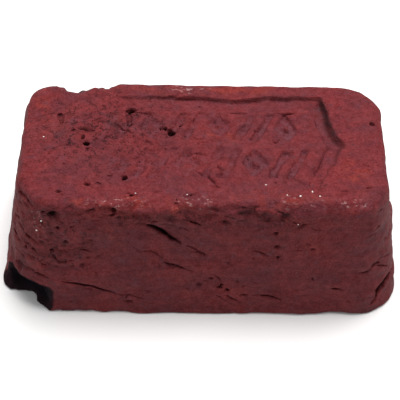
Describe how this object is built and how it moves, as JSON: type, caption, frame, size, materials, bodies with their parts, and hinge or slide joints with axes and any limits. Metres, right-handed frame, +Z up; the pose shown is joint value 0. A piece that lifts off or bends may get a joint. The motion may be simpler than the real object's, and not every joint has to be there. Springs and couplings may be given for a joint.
{
  "type": "clay bar",
  "caption": "Dark red bar of surface clay with drafted sides, round corners, a worn pressed panel on top and a torn front corner.",
  "frame": {"origin": "middle of the face that the bar rests on", "axes": "+X along the bar towards the panel's pointed end, +Y towards the back, +Z up out of the pressed top"},
  "size_m": [0.095, 0.05, 0.0332],
  "materials": {
    "clay": "matte, slightly waxy, mottled dark red clay",
    "grit": "matte pale grit"
  },
  "bodies": {
    "root": {"main_slug": "clay", "lower_front_tongue": "clay", "front_slug": "clay", "corner_slug": "clay", "back_left_lobe": "clay", "grit_crumbs": "grit"}
  },
  "joints": []
}
